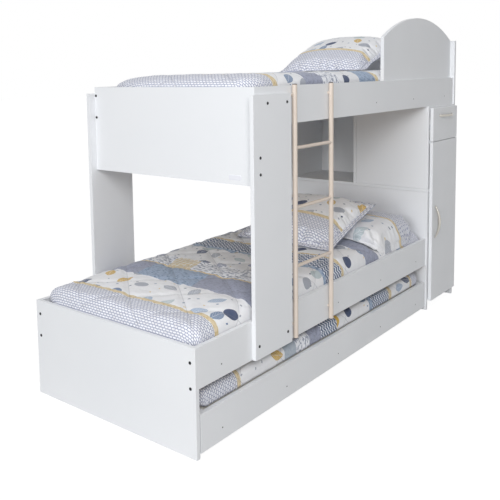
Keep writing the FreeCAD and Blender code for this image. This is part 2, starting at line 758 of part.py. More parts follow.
def bow_handle(centre, along, face_y):
    """A strap bow between two feet on a front, deepest in its middle."""
    outward = -Y_AXIS
    across = along.cross(outward)
    middle = Vector(centre.x, face_y, centre.z) - across * (handle_width / 2)
    half = handle_length / 2
    inner_half = half - handle_foot
    start = middle - along * half
    end = middle + along * half
    inner_start = middle - along * inner_half
    inner_end = middle + along * inner_half
    edges = [
        Part.Arc(start, middle + outward * handle_reach, end).toShape(),
        Part.LineSegment(end, inner_end).toShape(),
        Part.Arc(inner_end, middle + outward * (handle_reach - handle_strap), inner_start).toShape(),
        Part.LineSegment(inner_start, start).toShape(),
    ]
    return Part.Face(Part.Wire(edges)).extrude(across * handle_width)


def make_drawer():
    """The cabinet's drawer: front, box, handle and side slides, and its fixed tracks."""
    front = box(front_start, front_end, front_outer, front_inner, drawer_front_bottom, drawer_front_top)
    save("drawer_front", front)
    middle = Vector((front_start + front_end) / 2, 0, drawer_front_top - drawer_handle_drop)
    save("drawer_handle", bow_handle(middle, X_AXIS, front_outer))
    side_x0 = cabinet_inner_start + track_depth + track_gap
    side_x1 = head_inner - track_depth - track_gap
    box_bottom = bay_floor_top + drawer_lift
    box_top = bay_floor_top + bay_height - drawer_top_gap
    box_end = front_inner + drawer_depth
    bottom_z0 = box_bottom + drawer_bottom_lift
    bottom_z1 = bottom_z0 + drawer_bottom_thickness
    bottom = box(side_x0 + drawer_side - drawer_groove, side_x1 - drawer_side + drawer_groove,
                 front_inner, box_end - drawer_side + drawer_groove, bottom_z0, bottom_z1)
    save("drawer_bottom", bottom)
    sides = []
    for x0 in (side_x0, side_x1 - drawer_side):
        side = box(x0, x0 + drawer_side, front_inner, box_end, box_bottom, box_top)
        sides.append(side.cut(bottom))
    save("drawer_sides", *sides)
    back = box(side_x0 + drawer_side, side_x1 - drawer_side, box_end - drawer_side, box_end,
               box_bottom, box_top)
    save("drawer_back", back.cut(bottom))
    tracks = []
    slides = []
    track_z0 = box_bottom + track_lift
    track_y0 = -panel_overhang
    track_y1 = track_y0 + drawer_depth
    slide_z0 = track_z0 + track_wall + track_gap
    slide_z1 = track_z0 + track_height - track_wall - track_gap
    for wall_x, inward in ((cabinet_inner_start, 1), (head_inner, -1)):
        web_end = wall_x + inward * track_depth
        channel = box(min(wall_x, web_end), max(wall_x, web_end), track_y0, track_y1,
                      track_z0, track_z0 + track_height)
        slot_start = wall_x + inward * track_wall
        slot_end = web_end + inward * overrun
        slot = box(min(slot_start, slot_end), max(slot_start, slot_end), track_y0 - overrun,
                   track_y1 + overrun, track_z0 + track_wall, track_z0 + track_height - track_wall)
        tracks.append(channel.cut(slot))
        slide_start = slot_start + inward * track_gap
        slide_end = web_end + inward * track_gap
        slides.append(box(min(slide_start, slide_end), max(slide_start, slide_end), front_inner,
                          box_end, slide_z0, slide_z1))
    save("drawer_tracks", *tracks)
    save("drawer_slides", *slides)


hinge_x = head_inner - front_side_gap / 2
hinge_y = (front_inner - panel_overhang) / 2


def hinge_places():
    """The bottom heights of the door's hinges."""
    low = door_bottom + hinge_inset
    high = door_top - hinge_inset - hinge_height
    return spread(low, high, hinge_count)


def hinge_reliefs():
    """Round recesses for the knuckles in the door's edge and the head panel's edge."""
    reliefs = []
    for z in hinge_places():
        start = Vector(hinge_x, hinge_y, z - knuckle_clearance)
        diameter = knuckle_diameter + knuckle_clearance * 2
        reliefs.append(rod(start, Z_AXIS, diameter, hinge_height + knuckle_clearance * 2))
        leaf_x = head_inner
        leaf_y1 = -panel_overhang + hinge_leaf_width
        reliefs.append(box(leaf_x, leaf_x + hinge_leaf, -panel_overhang, leaf_y1, z, z + hinge_height))
    return reliefs


def make_door():
    """The cabinet door with its bow handle and the butt hinges on the head panel."""
    door = box(front_start, front_end, front_outer, front_inner, door_bottom, door_top)
    handle_middle = Vector(front_start + door_handle_inset, 0, door_handle_middle)
    save("door_handle", bow_handle(handle_middle, Z_AXIS, front_outer))
    knuckle_length = hinge_height / 3
    frame_leaves = []
    door_leaves = []
    pins = []
    reliefs = hinge_reliefs()
    for z in hinge_places():
        axis_point = Vector(hinge_x, hinge_y, z)
        pins.append(rod(axis_point, Z_AXIS, hinge_pin_diameter, hinge_height))
        bore = rod(axis_point - Z_AXIS * overrun, Z_AXIS, hinge_pin_diameter + hinge_pin_clearance * 2,
                   hinge_height + overrun * 2)
        leaf_y1 = -panel_overhang + hinge_leaf_width
        frame_leaf = box(head_inner, head_inner + hinge_leaf, hinge_y, leaf_y1, z, z + hinge_height)
        door_leaf = box(front_end - hinge_leaf_width, hinge_x, front_inner - hinge_leaf, front_inner,
                        z, z + hinge_height)
        middle_z = z + knuckle_length
        gap = knuckle_clearance
        barrel = knuckle_diameter
        middle_zone = rod(Vector(hinge_x, hinge_y, middle_z - gap), Z_AXIS, barrel + gap * 2,
                          knuckle_length + gap * 2)
        outer_knuckles = [rod(Vector(hinge_x, hinge_y, z), Z_AXIS, barrel, knuckle_length),
                          rod(Vector(hinge_x, hinge_y, middle_z + knuckle_length), Z_AXIS, barrel,
                              knuckle_length)]
        zone_diameter = barrel + gap * 2
        zone_length = knuckle_length + gap * 2
        outer_zones = [rod(Vector(hinge_x, hinge_y, z - gap), Z_AXIS, zone_diameter, zone_length),
                       rod(Vector(hinge_x, hinge_y, middle_z + knuckle_length - gap), Z_AXIS,
                           zone_diameter, zone_length)]
        middle_length = knuckle_length - gap * 2
        middle_knuckle = rod(Vector(hinge_x, hinge_y, middle_z + gap), Z_AXIS, barrel, middle_length)
        frame_leaves.append(frame_leaf.cut(middle_zone).fuse(outer_knuckles).removeSplitter().cut(bore))
        door_leaves.append(door_leaf.cut(outer_zones).fuse(middle_knuckle).removeSplitter().cut(bore))
        reliefs.append(box(front_end - hinge_leaf_width, front_end, front_inner - hinge_leaf, front_inner,
                           z, z + hinge_height))
    save("door_panel", drill(door, reliefs))
    save("hinge_frame_leaves", *frame_leaves)
    save("hinge_door_leaves", *door_leaves)
    save("hinge_pins", *pins)


def main():
    """Write every node of the bed."""
    os.makedirs("parts", exist_ok=True)
    make_lower_bunk()
    make_bearers()
    slat_y0 = board + slat_end_gap
    slat_y1 = inner_rear - slat_end_gap
    make_slats("lower_slats", board + corner_block_length, cabinet_start - corner_block_length,
               slat_y0, slat_y1, lower_slat_top)
    make_slats("upper_slats", upper_inner_start + slat_width, head_inner - slat_width,
               slat_y0, slat_y1, upper_slat_top)
    make_posts()
    make_upper_bunk()
    make_cabinet()
    make_ladder()
    make_bedding()
    make_trundle()
    make_drawer()
    make_door()
    save("frame_bolts", *bolts)
    save("frame_nuts", *nuts)
    save("frame_screws", *screws)


main()
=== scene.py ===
import math

import bpy
import numpy as np
from mathutils import Matrix, Vector, noise


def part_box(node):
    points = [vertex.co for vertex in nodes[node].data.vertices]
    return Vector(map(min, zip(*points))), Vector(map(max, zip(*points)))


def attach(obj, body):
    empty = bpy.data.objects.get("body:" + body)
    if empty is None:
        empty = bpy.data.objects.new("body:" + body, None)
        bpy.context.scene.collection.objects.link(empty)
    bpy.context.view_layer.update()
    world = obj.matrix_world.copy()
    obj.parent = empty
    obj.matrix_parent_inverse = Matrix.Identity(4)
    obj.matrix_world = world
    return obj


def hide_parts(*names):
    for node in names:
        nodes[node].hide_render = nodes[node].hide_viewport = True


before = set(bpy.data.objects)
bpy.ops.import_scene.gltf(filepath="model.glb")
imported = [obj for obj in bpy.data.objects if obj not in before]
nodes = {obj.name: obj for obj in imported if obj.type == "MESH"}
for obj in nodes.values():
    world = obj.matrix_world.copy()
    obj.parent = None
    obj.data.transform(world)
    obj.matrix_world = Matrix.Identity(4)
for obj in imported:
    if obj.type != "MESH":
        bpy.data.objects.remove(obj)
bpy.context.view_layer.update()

# The bed's own axes start at the foot panel's outer face, the front rail's outer face and the floor.
BED_ORIGIN = Vector((-1.155, -0.41345, 0.0))


def linear(red, green, blue):
    """A colour written in 0 to 255 as the light values that shaders take."""
    values = []
    for part in (red, green, blue):
        share = part / 255
        values.append(share / 12.92 if share <= 0.04045 else ((share + 0.055) / 1.055) ** 2.4)
    return (*values, 1.0)


WHITE_PRINT = linear(248, 250, 255)
LATTICE_STROKE = linear(166, 170, 192)
TAN = linear(230, 213, 178)
BLUE = linear(170, 187, 210)
DEEP_BLUE = linear(118, 139, 170)
MAUVE = linear(167, 172, 192)
GREY = linear(176, 180, 190)
NAVY = linear(74, 86, 116)
MUSTARD = linear(214, 176, 84)
DEEP_MAUVE = linear(142, 146, 166)

# The bands' numbers are kept as grey levels in steps of one in so many, from a start past the foot's hem.
BAND_LEVELS = 16
BAND_START = -0.3
# The quilting's diagonal seams: their distance along the bed and their run along it per metre across.
QUILT_PITCH = 0.27
QUILT_SLOPE = 0.9
# How far the sides of a pillow pull in between its corners, as a share.
PILLOW_PULL = 0.05
# The width of a pillow case's flat hem, a pillow's gap to its support and the height over which it flattens.
HEM, SOFT_GAP, SOFT_EASE = 0.028, 0.003, 0.01


# Materials


def set_all(thing, settings):
    """Set several of a thing's values by their names."""
    for key, value in settings.items():
        setattr(thing, key, value)
    return thing


class Shading:
    """A node tree with short calls for its nodes."""

    def __init__(self, tree):
        self.tree = tree

    def put(self, socket, value):
        """Link a socket to another, or set its value."""
        if isinstance(value, bpy.types.NodeSocket):
            self.tree.links.new(value, socket)
        else:
            socket.default_value = value

    def add(self, kind, inputs=None, **settings):
        """A new node with its settings and inputs."""
        node = set_all(self.tree.nodes.new("ShaderNode" + kind), settings)
        for key, value in (inputs or {}).items():
            self.put(node.inputs[key], value)
        return node

    def math(self, operation, *values):
        """The result of one sum."""
        node = self.add("Math", operation=operation)
        for socket, value in zip(node.inputs, values):
            self.put(socket, value)
        return node.outputs[0]

    def times(self, first, second):
        """A product."""
        return self.math("MULTIPLY", first, second)

    def plus(self, first, second):
        """A sum."""
        return self.math("ADD", first, second)

    def below(self, value, limit):
        """1 where a value is less than a limit."""
        return self.math("LESS_THAN", value, limit)

    def mix(self, share, low, high):
        """A colour between two others."""
        node = self.add("Mix", data_type="RGBA")
        for index, value in ((0, share), (6, low), (7, high)):
            self.put(node.inputs[index], value)
        return node.outputs[2]

    def place(self):
        """The point on the object, in metres."""
        return self.add("TexCoord").outputs["Object"]

    def print_place(self):
        """The point on the flat cloth, in metres: along the bed, across it."""
        return self.add("UVMap", uv_map="print").outputs["UV"]

    def split(self, vector):
        """The parts of a vector."""
        return self.add("SeparateXYZ", {"Vector": vector}).outputs[:]

    def join(self, x, y, z=0.0):
        """A vector of three parts."""
        return self.add("CombineXYZ", {"X": x, "Y": y, "Z": z}).outputs[0]

    def noise(self, vector, scale, detail=2.0):
        """Soft random values from 0 to 1."""
        inputs = {"Vector": vector, "Scale": scale, "Detail": detail}
        return self.add("TexNoise", inputs).outputs[0]

    def stretch(self, vector, x, y, z):
        """A vector with each part scaled."""
        inputs = {"Vector": vector, "Scale": (x, y, z)}
        return self.add("Mapping", inputs).outputs[0]

    def spread(self, value, low, high, to_low, to_high):
        """A value moved from one range to another."""
        inputs = {0: value, 1: low, 2: high, 3: to_low, 4: to_high}
        return self.add("MapRange", inputs).outputs[0]

    def stepped(self, value, entries):
        """The colour of the last place, of a list of places and colours, that a value has passed."""
        ramp = self.add("ValToRGB", {"Fac": value})
        ramp.color_ramp.interpolation = "CONSTANT"
        steps = ramp.color_ramp.elements
        steps.remove(steps[1])
        for index, (place, colour) in enumerate(entries):
            step = steps.new(place) if index else steps[0]
            step.color = colour
        return ramp.outputs[0]

    def bump(self, height, strength, depth, under=None):
        """A surface relief from a height, over another relief."""
        inputs = {"Height": height, "Strength": strength, "Distance": depth}
        if under is not None:
            inputs["Normal"] = under
        return self.add("Bump", inputs).outputs[0]

    def background_rays(self):
        """1 for rays that show the background: the camera's and those off metal and through glass."""
        path = self.add("LightPath")
        share = path.outputs["Is Camera Ray"]
        for kind in ("Is Glossy Ray", "Is Transmission Ray"):
            share = self.math("MAXIMUM", share, path.outputs[kind])
        return share


class Paint(Shading):
    """One material."""

    def __init__(self, name, **sockets):
        self.material = bpy.data.materials.new(name)
        self.material.use_nodes = True
        super().__init__(self.material.node_tree)
        self.shader = self.tree.nodes["Principled BSDF"]
        for key, value in sockets.items():
            self.shader.inputs[key.replace("_", " ")].default_value = value

    def finish(self, colour, roughness=None, normal=None):
        """Link the results to the shader."""
        for key, value in (("Base Color", colour), ("Roughness", roughness), ("Normal", normal)):
            if value is not None:
                self.put(self.shader.inputs[key], value)
        return self.material


def laminate(name, colour, shade):
    """Satin board: fine peel in the surface, faint clouds in tone and gloss."""
    paint = Paint(name, IOR=1.46)
    place = paint.place()
    clouds = paint.noise(place, 2.3, 3.0)
    tone = paint.mix(clouds, colour, shade)
    peel = paint.noise(place, 700.0, 1.0)
    rubbed = paint.spread(paint.noise(place, 9.0, 4.0), 0.3, 0.7, 0.42, 0.54)
    return paint.finish(tone, rubbed, paint.bump(peel, 0.12, 0.0002))


def pine():
    """Planed softwood with grain along the slats."""
    paint = Paint("pine_wood", IOR=1.5)
    place = paint.place()
    grain = paint.noise(paint.stretch(place, 60.0, 2.2, 60.0), 1.6, 6.0)
    rings = paint.add("TexWave", {"Vector": paint.stretch(place, 1.0, 0.05, 1.0), "Scale": 26.0,
                                  "Distortion": 6.0, "Detail": 3.0}).outputs[0]
    light = linear(222, 190, 146)
    dark = linear(190, 148, 102)
    tone = paint.mix(paint.times(grain, rings), light, dark)
    rough = paint.spread(grain, 0.3, 0.7, 0.5, 0.68)
    return paint.finish(tone, rough, paint.bump(grain, 0.25, 0.0004))


def powder_coat():
    """Cream powder coat on tube, with its fine orange peel."""
    paint = Paint("cream_powder_coat", IOR=1.5)
    place = paint.place()
    tone = paint.mix(paint.noise(place, 14.0, 3.0), linear(222, 209, 197), linear(212, 198, 185))
    peel = paint.noise(place, 420.0, 2.0)
    return paint.finish(tone, paint.spread(peel, 0.2, 0.8, 0.34, 0.46), paint.bump(peel, 0.2, 0.0003))


def brushed(name, colour, dark, roughness, stretch):
    """Metal with fine lines along one way."""
    paint = Paint(name, Metallic=0.7)
    place = paint.place()
    lines = paint.noise(paint.stretch(place, *stretch), 1.0, 4.0)
    tone = paint.mix(lines, colour, dark)
    rough = paint.spread(lines, 0.25, 0.75, roughness - 0.06, roughness + 0.1)
    return paint.finish(tone, rough, paint.bump(lines, 0.1, 0.0002))


def patchy(paint, patches, first, dark, pale, rough, relief):
    """A dark finish that is paler in patches, from where a pattern passes a level."""
    tone = paint.mix(paint.spread(patches, first, first + 0.35, 0.0, 1.0), dark, pale)
    return paint.finish(tone, paint.spread(patches, 0.3, 0.7, *rough), paint.bump(patches, *relief))


def black_oxide():
    """Blackened steel, worn a little lighter in patches."""
    paint = Paint("black_oxide", Metallic=0.6)
    worn = paint.noise(paint.place(), 260.0, 4.0)
    return patchy(paint, worn, 0.45, linear(26, 26, 29), linear(74, 74, 78), (0.36, 0.5), (0.15, 0.0002))


def rubber():
    """Matt grey-black tyre rubber with dust."""
    paint = Paint("tyre_rubber")
    dust = paint.noise(paint.place(), 90.0, 5.0)
    return patchy(paint, dust, 0.5, linear(42, 42, 44), linear(92, 90, 88), (0.7, 0.85), (0.2, 0.0003))


def weave(paint, vector, threads):
    """Height of a plain weave with so many threads to the metre."""
    waves = [paint.math("SINE", paint.times(way, threads * math.tau)) for way in paint.split(vector)[:2]]
    return paint.times(*waves)


def cloth_finish(paint, vector, colour, crumple):
    """Weave, small creases and painted shade that greys the cloth a little along the creases' pattern."""
    creases = paint.noise(paint.stretch(vector, 1.0, 0.7, 1.0), 46.0, 5.0)
    # Painted shade: up to 9 % cool grey where the small creases' pattern runs high.
    tone = paint.mix(paint.spread(creases, 0.35, 0.75, 0.0, 0.09), colour, linear(168, 168, 176))
    relief = paint.bump(creases, crumple, 0.006)
    relief = paint.bump(weave(paint, vector, 900.0), 0.12, 0.0004, relief)
    return paint.finish(tone, None, relief)


def ticking():
    """Woven mattress cover with pale stripes."""
    paint = Paint("ticking_cloth", Roughness=0.85, Sheen_Weight=0.2)
    place = paint.place()
    across = paint.split(place)[1]
    stripe = paint.math("FRACT", paint.times(across, 22.0))
    mask = paint.below(stripe, 0.3)
    tone = paint.mix(mask, linear(232, 229, 222), linear(206, 208, 212))
    return cloth_finish(paint, place, tone, 0.25)


def bands(paint, along, edges):
    """The number of the band that a point lies in, as a stepped value."""
    end = 2.4
    entries = []
    for edge, kind in edges:
        level = PRINTS.index(kind) / BAND_LEVELS
        entries.append(((edge - BAND_START) / (end - BAND_START), (level, level, level, 1.0)))
    return paint.stepped(paint.spread(along, BAND_START, end, 0.0, 1.0), entries)


def lattice(paint, vector):
    """Rows of small pale cells in soft strokes, set off by half a cell from row to row."""
    along, across, _ = paint.split(vector)
    wobble = paint.times(paint.noise(vector, 55.0), 0.004)
    turned = paint.join(paint.plus(across, wobble), paint.plus(along, wobble))
    inputs = {"Vector": turned, "Color1": WHITE_PRINT, "Color2": linear(236, 236, 239),
              "Mortar": LATTICE_STROKE, "Scale": 40.0, "Mortar Size": 0.085, "Mortar Smooth": 0.4,
              "Brick Width": 0.66, "Row Height": 0.4}
    return paint.add("TexBrick", inputs).outputs[0]


def plain(tone, dark):
    """A print of one tone with small darker flecks."""
    def make(paint, vector):
        flecks = paint.noise(paint.stretch(vector, 1.0, 0.4, 1.0), 150.0)
        return paint.mix(paint.spread(flecks, 0.5, 0.62, 0.0, 1.0), tone, dark)
    return make


def speckle(paint, vector):
    """Short grey dashes on white."""
    flecks = paint.noise(paint.stretch(vector, 1.0, 0.5, 1.0), 95.0, 1.0)
    return paint.mix(paint.spread(flecks, 0.5, 0.58, 0.0, 1.0), WHITE_PRINT, linear(168, 174, 190))


def chevron(paint, vector):
    """Dark zigzag strokes."""
    along, across, _ = paint.split(vector)
    zigzag = paint.math("PINGPONG", across, 0.012)
    rows = paint.math("FRACT", paint.times(paint.plus(along, zigzag), 52.0))
    dark = paint.mix(paint.noise(vector, 12.0), NAVY, DEEP_BLUE)
    return paint.mix(paint.below(rows, 0.36), dark, WHITE_PRINT)


def grid_patch(paint, vector):
    """Pale lines in a square grid on tan."""
    inputs = {"Vector": vector, "Color1": TAN, "Color2": linear(226, 210, 172),
              "Mortar": WHITE_PRINT, "Scale": 40.0, "Mortar Size": 0.06, "Brick Width": 0.9,
              "Row Height": 0.9}
    return paint.add("TexBrick", inputs, offset=0.0).outputs[0]


def patch_row(cuts, makers):
    """Patches side by side across the bed, cut at given places."""
    def make(paint, vector):
        along, across, _ = paint.split(vector)
        slanted = paint.plus(across, paint.times(along, -0.25))
        colour = makers[0](paint, vector)
        for cut, maker in zip(cuts, makers[1:]):
            beyond = paint.math("GREATER_THAN", slanted, cut)
            colour = paint.mix(beyond, colour, maker(paint, vector))
        return colour
    return make


def scatter(paint, vector, scale, randomness):
    """For the nearest of scattered points: the way to it, turned at random, and two random values."""
    inputs = {"Vector": vector, "Scale": scale, "Randomness": randomness}
    cells = paint.add("TexVoronoi", inputs, voronoi_dimensions="2D")
    offset = paint.add("VectorMath", {0: vector, 1: cells.outputs["Position"]}, operation="SUBTRACT")
    first, second, _ = paint.split(cells.outputs["Color"])
    turn = paint.times(first, math.tau)
    turned = paint.add("VectorRotate", {"Vector": offset.outputs[0], "Angle": turn},
                       rotation_type="Z_AXIS")
    x, y, _ = paint.split(turned.outputs[0])
    return x, y, first, second


def pick(paint, value, colours):
    """One of several colours by a value from 0 to 1."""
    return paint.stepped(value, [(index / len(colours), colour) for index, colour in enumerate(colours)])


def square_share(paint, value, whole):
    """The square of a value's share of a whole."""
    return paint.math("POWER", paint.math("DIVIDE", value, whole), 2.0)


def leaf(paint, x, y, half_length, half_width):
    """Where a pointed leaf covers, and its midrib and veins."""
    bow = paint.math("SUBTRACT", 1.0, square_share(paint, x, half_length))
    side = paint.math("ABSOLUTE", y)
    inside = paint.below(side, paint.times(bow, half_width))
    rib = paint.below(side, 0.0011)
    lean = paint.math("FRACT", paint.times(paint.math("SUBTRACT", x, side), 110.0))
    lines = paint.math("MAXIMUM", rib, paint.below(lean, 0.2))
    return inside, lines


def pebble(paint, x, y, half_length, half_width):
    """Where a rounded pebble covers."""
    reach = paint.plus(square_share(paint, x, half_length), square_share(paint, y, half_width))
    return paint.below(reach, 1.0)


def motifs(paint, vector):
    """Leaves, pebbles and dots scattered on white."""
    colour = paint.mix(paint.noise(vector, 6.0), WHITE_PRINT, linear(239, 238, 238))
    x, y, first, second = scatter(paint, vector, 22.0, 0.9)
    dots = paint.times(pebble(paint, x, y, 0.0062, 0.0036), paint.below(second, 0.45))
    colour = paint.mix(dots, colour, pick(paint, first, (NAVY, GREY, DEEP_BLUE, TAN)))
    x, y, first, second = scatter(paint, vector, 8.2, 0.55)
    inks = pick(paint, second, (BLUE, MUSTARD, GREY, NAVY, linear(196, 208, 212), MAUVE, DEEP_BLUE, GREY))
    inside, lines = leaf(paint, x, y, 0.042, 0.022)
    is_leaf = paint.math("GREATER_THAN", first, 0.42)
    leaves = paint.times(inside, is_leaf)
    stones = paint.times(pebble(paint, x, y, 0.033, 0.024), paint.math("SUBTRACT", 1.0, is_leaf))
    colour = paint.mix(stones, colour, inks)
    veined = paint.mix(paint.times(lines, 0.55), inks, WHITE_PRINT)
    return paint.mix(leaves, colour, veined)


blue_print = plain(BLUE, DEEP_BLUE)
mauve_print = plain(MAUVE, DEEP_MAUVE)
PRINT_MAKERS = {
    "lattice": lattice,
    "tan": plain(TAN, linear(208, 186, 138)),
    "motifs": motifs,
    "mauve": mauve_print,
    "blue": blue_print,
    "pale": plain(linear(186, 196, 206), linear(172, 184, 198)),
    "speckle": speckle,
    "chevron": chevron,
    "patches": patch_row((0.24, 0.55), (mauve_print, blue_print, mauve_print)),
    "squares": patch_row((0.36, 0.49), (speckle, grid_patch, speckle)),
}
PRINTS = list(PRINT_MAKERS)


def painted_seam_shade(paint, vector, colour):
    """Painted shade, thin, along the quilting's diagonal seams."""
    along, across, _ = paint.split(vector)
    for sign in (1.0, -1.0):
        slope = paint.times(across, QUILT_SLOPE * sign)
        way = paint.math("DIVIDE", paint.plus(along, slope), QUILT_PITCH)
        gap = paint.math("PINGPONG", way, 0.5)
        line = paint.below(gap, 0.008)
        # Painted shade: each seam line is darkened a share of 0.3 towards a cool grey.
        colour = paint.mix(paint.times(line, 0.3), colour, linear(120, 124, 138))
    return colour


def printed_cloth(name, edges, quilted):
    """Printed cotton in bands."""
    paint = Paint(name, Roughness=0.86, Sheen_Weight=0.15, Sheen_Roughness=0.5, IOR=1.4)
    vector = paint.print_place()
    level = bands(paint, paint.split(vector)[0], edges)
    used = sorted({kind for _, kind in edges}, key=PRINTS.index)
    colour = PRINT_MAKERS[used[0]](paint, vector)
    for kind in used[1:]:
        here = paint.math("COMPARE", level, PRINTS.index(kind) / BAND_LEVELS, 0.02)
        colour = paint.mix(here, colour, PRINT_MAKERS[kind](paint, vector))
    if quilted:
        colour = painted_seam_shade(paint, vector, colour)
    return cloth_finish(paint, vector, colour, 0.3 if quilted else 0.22)


# Each print's bands as their starts along the flat cloth, in metres.
LOWER_BANDS = (
    (BAND_START, "lattice"), (0.13, "tan"), (0.151, "motifs"), (0.354, "patches"), (0.525, "tan"),
    (0.543, "squares"), (0.65, "motifs"), (0.872, "blue"), (0.892, "chevron"), (1.03, "tan"),
    (1.055, "motifs"), (1.265, "mauve"), (1.40, "motifs"), (1.66, "tan"), (1.69, "lattice"),
)
UPPER_BANDS = (
    (BAND_START, "lattice"), (0.53, "tan"), (0.558, "motifs"), (0.774, "mauve"), (0.912, "speckle"),
    (1.045, "motifs"), (1.235, "blue"), (1.395, "tan"), (1.425, "motifs"), (2.0, "lattice"),
)
TRUNDLE_BANDS = (
    (BAND_START, "lattice"), (0.256, "tan"), (0.279, "motifs"), (0.568, "pale"), (0.65, "speckle"),
    (0.763, "mauve"), (0.854, "chevron"), (0.987, "motifs"), (1.31, "blue"), (1.335, "chevron"),
    (1.519, "tan"), (1.551, "motifs"), (1.768, "tan"), (1.797, "lattice"),
)
PILLOW_BANDS = ((BAND_START, "lattice"), (0.15, "tan"), (0.173, "motifs"))


# Mesh helpers


def new_object(name, data):
    """An object in the scene."""
    thing = bpy.data.objects.new(name, data)
    bpy.context.scene.collection.objects.link(thing)
    return thing


def new_piece(name, vertices, faces, slot, body, smooth=True, material=None):
    """A mesh object riding on a body, in its slot's own material where no other is given."""
    mesh = bpy.data.meshes.new(name)
    mesh.from_pydata([tuple(v) for v in vertices], [], faces)
    mesh.update()
    piece = new_object(name, mesh)
    dress(piece, slot, body, smooth, material)
    return piece


def paint_piece(piece, slot, material=None):
    """Give a piece one material: its slot's, where no other is given."""
    piece.data.materials.clear()
    piece.data.materials.append(material or MATERIALS[slot])


def dress(piece, slot, body, smooth=True, material=None):
    """Give a piece its finish and its body."""
    if smooth:
        piece.data.polygons.foreach_set("use_smooth", [True] * len(piece.data.polygons))
    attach(piece, body)
    paint_piece(piece, slot, material)


def modify(piece, name, kind, **settings):
    """Put a modifier with its settings on a piece."""
    return set_all(piece.modifiers.new(name, kind), settings)


def print_map(piece, flat):
    """Write each vertex's place on the flat cloth to the print map."""
    layer = piece.data.uv_layers.new(name="print")
    corners = np.empty(len(piece.data.loops), dtype=np.int32)
    piece.data.loops.foreach_get("vertex_index", corners)
    layer.data.foreach_set("uv", np.asarray(flat, dtype=np.float32)[corners].ravel())


def ring_faces(rows, count):
    """Quads between rings of so many points each."""
    faces = []
    for low in range(0, (rows - 1) * count, count):
        for index in range(count):
            after = (index + 1) % count
            faces.append((low + index, low + after, low + count + after, low + count + index))
    return faces


def caps(rows, count):
    """The faces that close the first and the last ring."""
    last = (rows - 1) * count
    return [tuple(reversed(range(count))), tuple(range(last, last + count))]


def corner_outline(half_wide, half_high, corner, steps):
    """Points round a rectangle with round corners, from its right side on."""
    points = []
    for turn, sign_wide, sign_high in ((0, 1, 1), (1, -1, 1), (2, -1, -1), (3, 1, -1)):
        for step in range(steps):
            angle = math.pi / 2 * (turn + step / (steps - 1))
            points.append((sign_wide * (half_wide - corner) + corner * math.cos(angle),
                           sign_high * (half_high - corner) + corner * math.sin(angle)))
    return points


def lathe(profile, start, axis, sides):
    """Vertices and faces of a profile of (radius, height) turned about an axis from a start point."""
    way = axis.normalized()
    across = way.orthogonal().normalized()
    other = way.cross(across)
    vertices = []
    for radius, height in profile:
        for index in range(sides):
            angle = math.tau * index / sides
            spoke = across * math.cos(angle) + other * math.sin(angle)
            vertices.append(start + way * height + spoke * radius)
    return vertices, ring_faces(len(profile), sides) + caps(len(profile), sides)


def merge(parts):
    """Several lists of vertices and faces as one."""
    vertices = []
    faces = []
    for part_vertices, part_faces in parts:
        base = len(vertices)
        vertices.extend(part_vertices)
        faces.extend(tuple(base + index for index in face) for face in part_faces)
    return vertices, faces


def loose_parts(node):
    """The separate solids of a CAD node, each as its vertices' places."""
    mesh = nodes[node].data
    places = [tuple(round(c, 6) for c in v.co) for v in mesh.vertices]
    solid = {}
    for face in mesh.polygons:
        keys = {places[index] for index in face.vertices}
        whole = keys.union(*(solid.get(key, ()) for key in keys))
        for key in whole:
            solid[key] = whole
    parts = {min(whole): whole for whole in solid.values()}
    return [[Vector(key) for key in sorted(parts[first])] for first in sorted(parts)]


def bar_line(points):
    """The start, axis, length and greatest radius of a bar with its widest end first."""
    low, high = (Vector([end(p[i] for p in points) for i in range(3)]) for end in (min, max))
    size = high - low
    long_way = max(range(3), key=lambda i: size[i])
    axis = Vector([float(i == long_way) for i in range(3)])
    middle = (low + high) / 2
    ends = []
    for sign in (-1, 1):
        end = middle + axis * (sign * size[long_way] / 2)
        near = [p for p in points if abs((p - end).dot(axis)) < 0.0005]
        reach = max((p - end - axis * (p - end).dot(axis)).length for p in near)
        ends.append((reach, end, -axis * sign))
    reach, start, way = max(ends, key=lambda entry: entry[0])
    return start, way, size[long_way], reach


# Boards and metal that keep their CAD form

MATERIALS = {
    "white_laminate": laminate("white_laminate_board", linear(238, 239, 241), linear(231, 233, 236)),
    "drawer_board": laminate("drawer_foil_board", linear(232, 232, 231), linear(224, 224, 224)),
    "pine": pine(),
    "ladder_tube": powder_coat(),
    "satin_nickel": brushed("satin_nickel_metal", linear(206, 202, 194), linear(176, 172, 164), 0.34,
                            (40.0, 900.0, 900.0)),
    "pale_plate": brushed("pale_plate_metal", linear(238, 239, 245), linear(216, 217, 224), 0.42,
                          (900.0, 40.0, 900.0)),
    "black_bolt": black_oxide(),
    "zinc_steel": brushed("zinc_plated_steel", linear(196, 199, 204), linear(160, 163, 170), 0.38,
                          (300.0, 300.0, 60.0)),
    "wheel_rubber": rubber(),
    "mattress_ticking": ticking(),
    "lower_print": printed_cloth("lower_quilt_cotton", LOWER_BANDS, True),
    "upper_print": printed_cloth("upper_quilt_cotton", UPPER_BANDS, True),
    "trundle_print": printed_cloth("trundle_quilt_cotton", TRUNDLE_BANDS, True),
    "pillow_print": printed_cloth("pillow_cotton", PILLOW_BANDS, False),
}

BOARDS = (
    "lower_foot_panel", "lower_front_rail", "lower_rear_rail", "front_post", "rear_post",
    "upper_foot_panel", "upper_front_rail", "upper_rear_rail", "arched_guard", "head_panel",
    "cabinet_lower_panel", "cabinet_upper_panel", "niche_divider", "niche_shelf", "cabinet_back",
    "cabinet_boards", "trundle_front", "trundle_rear", "trundle_ends", "drawer_front", "door_panel",
)
